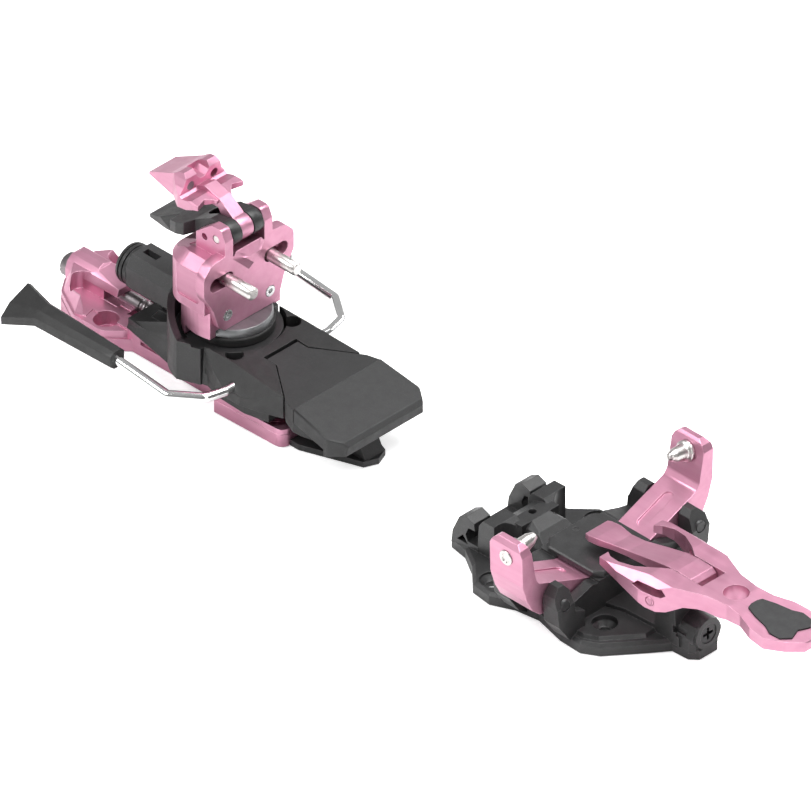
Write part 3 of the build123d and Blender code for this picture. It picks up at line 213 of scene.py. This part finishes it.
def rubbery(name, base, worn):
    """Matt rubber with a fine cellular grain."""
    g = Graph(name)
    cloud = g.noise_range(90.0, detail=4.0, rough=0.6)
    colour = g.mix(cloud, darker(base, 0.85), base)
    edge, soft = g.edge_mask(radius=0.0005, gain=3.0)
    colour = g.tint(colour, worn, mask=edge, amount=0.5)
    cells = g.add("ShaderNodeTexVoronoi")
    cells.inputs["Scale"].default_value = 2200.0
    g.link(g.coords, cells.inputs["Vector"])
    g.set(Base_Color=colour, Metallic=0.0, IOR=1.48,
          Roughness=g.noise_range(300.0, to=(0.55, 0.72), detail=3.0, rough=0.6))
    g.bump(cells.outputs["Distance"], strength=0.25, distance=0.00008, normal=soft)
    return g.mat


def steel(name, base, tint, rough, stretch=LINES_ALONG_X, bump=0.10):
    """Ground or turned steel: cloudy tint, fine directional lines, brighter edges."""
    g = Graph(name)
    lines = g.noise(2600.0, detail=2.0, rough=0.6, stretch=stretch)
    colour = g.mix(g.noise_range(120.0, detail=4.0, rough=0.6), tint, base)
    edge, soft = g.edge_mask(radius=0.0003, gain=3.0)
    colour = g.tint(colour, grey(0.9), mask=edge, amount=0.4)
    g.set(Base_Color=colour, Metallic=1.0,
          Roughness=g.noise_range(500.0, to=rough, detail=3.0, rough=0.6))
    g.bump(lines, strength=bump, distance=0.00004, normal=soft)
    return g.mat


def floor_paper():
    """Matt paper that stays pale far from the lamps, for the camera only."""
    g = Graph("floor_paper")
    cloud = g.noise_range(1.2, detail=2.0)
    g.set(Base_Color=g.mix(cloud, grey(0.90), grey(0.92)), Roughness=0.9)
    is_camera = g.add("ShaderNodeLightPath").outputs["Is Camera Ray"]
    g.set(Emission_Color=grey(1.0), Emission_Strength=g.maths("MULTIPLY", is_camera, 0.5))
    return g.mat


# ------------------------------------------------------------------ materials
# one material per slot of the frame
SLOT_MATS = {
    "pink_anodised": anodised(
        "pink_anodised", base=(0.600, 0.280, 0.392), light=(0.88, 0.60, 0.71),
        deep=(0.530, 0.236, 0.340), rough=(0.34, 0.44), metal=0.82),
    "black_polymer": moulded(
        "black_polymer", base=(0.018, 0.018, 0.0185), worn=grey(0.10), rough=(0.33, 0.48)),
    "grey_alloy": anodised(
        "grey_alloy", base=(0.24, 0.245, 0.25), light=grey(0.55),
        deep=(0.19, 0.195, 0.20), rough=(0.34, 0.46)),
    "hard_steel": steel(
        "hard_steel", base=(0.68, 0.65, 0.635), tint=(0.60, 0.575, 0.56),
        rough=(0.26, 0.36), bump=0.015),
    "screw_steel": steel(
        "screw_steel", base=grey(0.74), tint=(0.58, 0.58, 0.59),
        rough=(0.20, 0.36), stretch=LINES_ALONG_Z),
    "spring_steel": steel(
        "spring_steel", base=(0.42, 0.42, 0.43), tint=(0.30, 0.30, 0.31), rough=(0.28, 0.42)),
    "black_rubber": rubbery("black_rubber", base=(0.020, 0.020, 0.021), worn=grey(0.07)),
    "brake_wire_steel": steel(
        "brake_wire_steel", base=grey(0.90), tint=grey(0.80), rough=(0.10, 0.20), bump=0.05),
}
# pieces whose surface differs a little from others in the same slot; the pads and brake feet
# are darker copies of the black polymer, painted shade for the light falling off towards the
# heel
PIECE_MATS = {
    "seal_ring": rubbery("seal_rubber", base=grey(0.008), worn=grey(0.03)),
    "barrel_housing": moulded("barrel_polymer", base=(0.034, 0.034, 0.035), worn=grey(0.13)),
    "toe_pivot_pins": anodised(
        "blackened_pin", base=(0.030, 0.030, 0.031), light=grey(0.12),
        deep=(0.022, 0.022, 0.023), rough=(0.38, 0.50), metal=0.5),
    "cover_screw": anodised(
        "blackened_screw", base=(0.045, 0.045, 0.046), light=grey(0.14),
        deep=grey(0.03), rough=(0.36, 0.48), metal=0.5),
    "nose_screw": anodised(
        "blackened_adjuster", base=(0.030, 0.030, 0.031), light=grey(0.12),
        deep=(0.022, 0.022, 0.023), rough=(0.34, 0.46), metal=0.4),
    # both pad bases are darker than the black polymer: painted shade, as the heel gets less
    # light than the toe
    "pad_shoe": moulded(
        "pad_polymer_painted_shade", base=(0.0135, 0.0135, 0.014), worn=grey(0.07), rough=(0.50, 0.66)),
    "brake_pad": moulded(
        "pad_plate_polymer_painted_shade", base=(0.0115, 0.0115, 0.012), worn=grey(0.06),
        rough=(0.50, 0.66)),
    "brake_plate": moulded("deck_polymer", base=(0.009, 0.0088, 0.009), worn=grey(0.05)),
    # the feet's darker base is painted shade, as the heel gets less light than the toe
    "brake_foot_left": moulded("foot_polymer_painted_shade_left", base=grey(0.013), worn=grey(0.06)),
    "brake_foot_right": moulded("foot_polymer_painted_shade_right", base=grey(0.013), worn=grey(0.06)),
    "lead_screw": steel(
        "lead_screw_steel", base=(0.30, 0.27, 0.28), tint=(0.20, 0.18, 0.19),
        rough=(0.34, 0.50), stretch=LINES_ALONG_Z, bump=0.04),
}

# ------------------------------------------------------------------ CAD pieces
WELD_DISTANCE = 0.000004
FLAT_ANGLE = math.radians(0.6)
CAD_BEVEL_ANGLE = math.radians(24)
BEVEL_WIDTHS = {
    "toe_lever": 0.0007, "lever_tongue": 0.0005, "toe_arm_left": 0.0007,
    "toe_arm_right": 0.0007, "turret_housing": 0.0009, "riser_upper": 0.0004,
    "riser_lower": 0.0004, "heel_track": 0.0006, "toe_base": 0.0006,
    "brake_plate": 0.0005, "brake_pad": 0.0004, "heel_carriage": 0.0005,
    "barrel_housing": 0.0004, "brake_foot_left": 0.0007, "brake_foot_right": 0.0007,
    "centre_cover": 0.0004, "track_front_stop": 0.0004,
}
# narrow valleys of these two would throw spikes with rounded miters
SHARP_MITERS = ("heel_track", "riser_upper")


def add_bevel(ob, width, segments, angle):
    bevel = ob.modifiers.new("edge", "BEVEL")
    bevel.width = width
    bevel.segments = segments
    bevel.limit_method = "ANGLE"
    bevel.angle_limit = angle
    return bevel


def soften(name, ob):
    """Merge flat facets of a CAD piece, then round its edges."""
    flat = ob.modifiers.new("flat", "DECIMATE")
    flat.decimate_type = "DISSOLVE"
    flat.angle_limit = FLAT_ANGLE
    bevel = add_bevel(ob, BEVEL_WIDTHS[name], segments=3, angle=CAD_BEVEL_ANGLE)
    bevel.use_clamp_overlap = True
    bevel.miter_outer = "MITER_SHARP" if name in SHARP_MITERS else "MITER_ARC"
    bevel.harden_normals = True


slot_of = {part["node"]: part["material_slot"] for part in frame["record"]["subparts"]}
for name, ob in frame["nodes"].items():
    ob.data.materials.clear()
    ob.data.materials.append(PIECE_MATS.get(name) or SLOT_MATS[slot_of[name]])
    weld = ob.modifiers.new("weld", "WELD")
    weld.merge_threshold = WELD_DISTANCE
    if name in BEVEL_WIDTHS:
        soften(name, ob)


# ------------------------------------------------------------------ added pieces
def add_object(name, data):
    ob = bpy.data.objects.new(name, data)
    scene.collection.objects.link(ob)
    return ob


def add_piece(name, bm, mat, body, bevel, segments=2):
    """Turn a bmesh into an object with softened edges that rides on a body."""
    bmesh.ops.recalc_face_normals(bm, faces=bm.faces)
    mesh = bpy.data.meshes.new(name)
    bm.to_mesh(mesh)
    bm.free()
    mesh.materials.append(mat)
    ob = add_object(name, mesh)
    add_bevel(ob, bevel, segments, angle=math.radians(30))
    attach(ob, body)


def ring_stack(centre, axis, sides, rings):
    """Closed turned form; rings hold (radius, height along the axis)."""
    bm = bmesh.new()
    axis = Vector(axis).normalized()
    across = Z_UP.cross(axis).normalized()
    upward = axis.cross(across)
    loops = []
    for radius, height in rings:
        loop = []
        for i in range(sides):
            angle = 2 * math.pi * i / sides
            loop.append(bm.verts.new(Vector(centre) + axis * height
                                     + across * (radius * math.cos(angle))
                                     + upward * (radius * math.sin(angle))))
        loops.append(loop)
    for low, high in zip(loops, loops[1:]):
        for i in range(sides):
            j = (i + 1) % sides
            bm.faces.new((low[i], low[j], high[j], high[i]))
    bm.faces.new(list(reversed(loops[0])))
    bm.faces.new(loops[-1])
    return bm


def turned_pair(name, body, centre, axis, sides, rings, mat, bevel):
    """Turned piece on the left, mirrored to the right; {side} in body is filled in."""
    for side, sign in SIDES:
        bm = ring_stack((centre[0], sign * centre[1], centre[2]),
                        (axis[0], sign * axis[1], axis[2]), sides, rings)
        add_piece(f"{name}_{side}", bm, SLOT_MATS[mat], body.format(side=side), bevel)


# round stud heads of the toe pins, dished in the middle
turned_pair("toe_pin_head", "toe_arm_{side}", centre=(0.2, 0.05185, 0.0427),
            axis=(0, 1, -0.02), sides=24, mat="hard_steel", bevel=0.00008,
            rings=((0.0031, 0.0), (0.0033, 0.00035), (0.0030, 0.0006),
                   (0.0021, 0.0006), (0.0018, 0.0001)))

# plain sleeves on the heel pins, between the pivot eye and the full diameter
turned_pair("heel_pin_sleeve", "heel_pin_{side}", centre=(0.0070, 0.0118, 0.0575),
            axis=(1, 0, 0), sides=40, mat="hard_steel", bevel=0.00003,
            rings=((0.00268, 0.0), (0.00268, 0.00475)))

# white inlay of the position scale on both rail flanks
TICK_COUNT = 7
TICK_START_X = -0.034
TICK_PITCH = 0.005
TICK_Z = 0.0079
TICK_HALF_WIDTH = 0.0002
TICK_HALF_HEIGHT = 0.00056
LONG_TICK_EXTRA = 0.00025  # added to the half height of every other tick
TICK_DEPTH_Y = (0.01417, 0.01436)  # inner and outer face
CORNERS = ((-1, -1), (1, -1), (1, 1), (-1, 1))
BOX_FACES = ((0, 1, 2, 3), (7, 6, 5, 4), (0, 4, 5, 1), (1, 5, 6, 2), (2, 6, 7, 3), (3, 7, 4, 0))


def scale_ticks():
    bm = bmesh.new()
    for _, sign in SIDES:
        for i in range(TICK_COUNT):
            x = TICK_START_X + TICK_PITCH * i
            half_height = TICK_HALF_HEIGHT + LONG_TICK_EXTRA * ((i + 1) % 2)
            verts = [bm.verts.new((x + a * TICK_HALF_WIDTH, sign * y, TICK_Z + b * half_height))
                     for y in TICK_DEPTH_Y for a, b in CORNERS]
            for face in BOX_FACES:
                bm.faces.new([verts[k] for k in face])
    return bm


ink = moulded("scale_ink", base=(0.62, 0.60, 0.61), worn=(0.80, 0.79, 0.79), rough=(0.45, 0.6))
add_piece("scale_ticks", scale_ticks(), ink, "ski_mounts", bevel=0.00003, segments=1)

# capped ends of the lever hinge
turned_pair("lever_hinge_cap", "toe_lever", centre=(0.2435, 0.01705, 0.0272),
            axis=(0, 1, 0), sides=32, mat="pink_anodised", bevel=0.00008,
            rings=((0.00195, 0.0), (0.00195, 0.00105), (0.0016, 0.00135), (0.0011, 0.00115)))

# ------------------------------------------------------------------ floor
FLOOR_GAP = 0.0002  # below the lowest CAD point
FLOOR_HALF = 20


def add_floor():
    z = cad_lo.z - FLOOR_GAP
    mesh = bpy.data.meshes.new("floor")
    mesh.from_pydata([(a * FLOOR_HALF, b * FLOOR_HALF, z) for a, b in CORNERS],
                     [], [(0, 1, 2, 3)])
    mesh.update()
    mesh.materials.append(floor_paper())
    add_object("floor", mesh)


add_floor()


# ------------------------------------------------------------------ world
def set_world():
    """White surroundings, stronger towards -X; camera rays see an even white."""
    world = bpy.data.worlds[0] if bpy.data.worlds else bpy.data.worlds.new("studio")
    scene.world = world
    world.use_nodes = True
    nodes = world.node_tree.nodes
    link = world.node_tree.links.new
    background = nodes.get("Background") or nodes.new("ShaderNodeBackground")
    background.inputs["Color"].default_value = (1.0, 1.0, 1.0, 1.0)
    coords = nodes.new("ShaderNodeTexCoord")
    split = nodes.new("ShaderNodeSeparateXYZ")
    fade = nodes.new("ShaderNodeMapRange")
    for key, value in (("From Min", -0.25), ("From Max", 0.85),
                       ("To Min", 0.44), ("To Max", 0.17)):
        fade.inputs[key].default_value = value
    light_path = nodes.new("ShaderNodeLightPath")
    strength = nodes.new("ShaderNodeMix")
    strength.data_type = "FLOAT"
    link(coords.outputs["Generated"], split.inputs[0])
    link(split.outputs["X"], fade.inputs["Value"])
    # sockets 0, 2 and 3 are the factor and the two values
    link(light_path.outputs["Is Camera Ray"], strength.inputs[0])
    link(fade.outputs["Result"], strength.inputs[2])
    strength.inputs[3].default_value = 0.95
    link(strength.outputs[0], background.inputs["Strength"])


set_world()


# ------------------------------------------------------------------ lights
def point_along(ob, direction):
    ob.rotation_mode = "QUATERNION"
    ob.rotation_quaternion = direction.to_track_quat("-Z", "Y")


def softbox(name, place, size, power, target=(0.10, 0.0, 0.02)):
    light = bpy.data.lights.new(name, "AREA")
    light.shape = "RECTANGLE"
    light.size, light.size_y = size
    light.energy = power
    ob = add_object(name, light)
    ob.location = place
    point_along(ob, Vector(target) - Vector(place))


softbox("key", place=(-0.30, -0.85, 0.95), size=(0.8, 0.6), power=11.0)
softbox("top", place=(0.30, 0.20, 1.05), size=(0.9, 0.7), power=15.5, target=(0.16, 0.0, 0.02))
softbox("rim", place=(0.2, 0.95, 0.55), size=(0.8, 0.3), power=4.0)
softbox("front", place=(1.05, -0.35, 0.45), size=(0.4, 0.5), power=2.0)

# ------------------------------------------------------------------ camera
# isometric view from the front right; a long lens keeps parallel edges parallel
AZIMUTH = math.radians(45.0)
ELEVATION = math.radians(35.264)
VIEW_CENTRE = Vector((0.0792, 0.0147, 0.020))
VIEW_WIDTH = 0.3119
HALF_VIEW_ANGLE = math.radians(0.7)
SENSOR_WIDTH = 36.0  # millimetres


def add_camera():
    back = Vector((math.sin(AZIMUTH) * math.cos(ELEVATION),
                   -math.cos(AZIMUTH) * math.cos(ELEVATION), math.sin(ELEVATION)))
    lens = bpy.data.cameras.new("camera")
    lens.sensor_width = SENSOR_WIDTH
    lens.lens = SENSOR_WIDTH / 2 / math.tan(HALF_VIEW_ANGLE)
    lens.clip_start = 0.1
    lens.clip_end = 100.0
    camera = add_object("camera", lens)
    camera.location = VIEW_CENTRE + back * (VIEW_WIDTH / 2 / math.tan(HALF_VIEW_ANGLE))
    point_along(camera, -back)
    scene.camera = camera


add_camera()
scene.view_settings.view_transform = "Standard"
scene.view_settings.look = "None"
scene.view_settings.exposure = 0.0
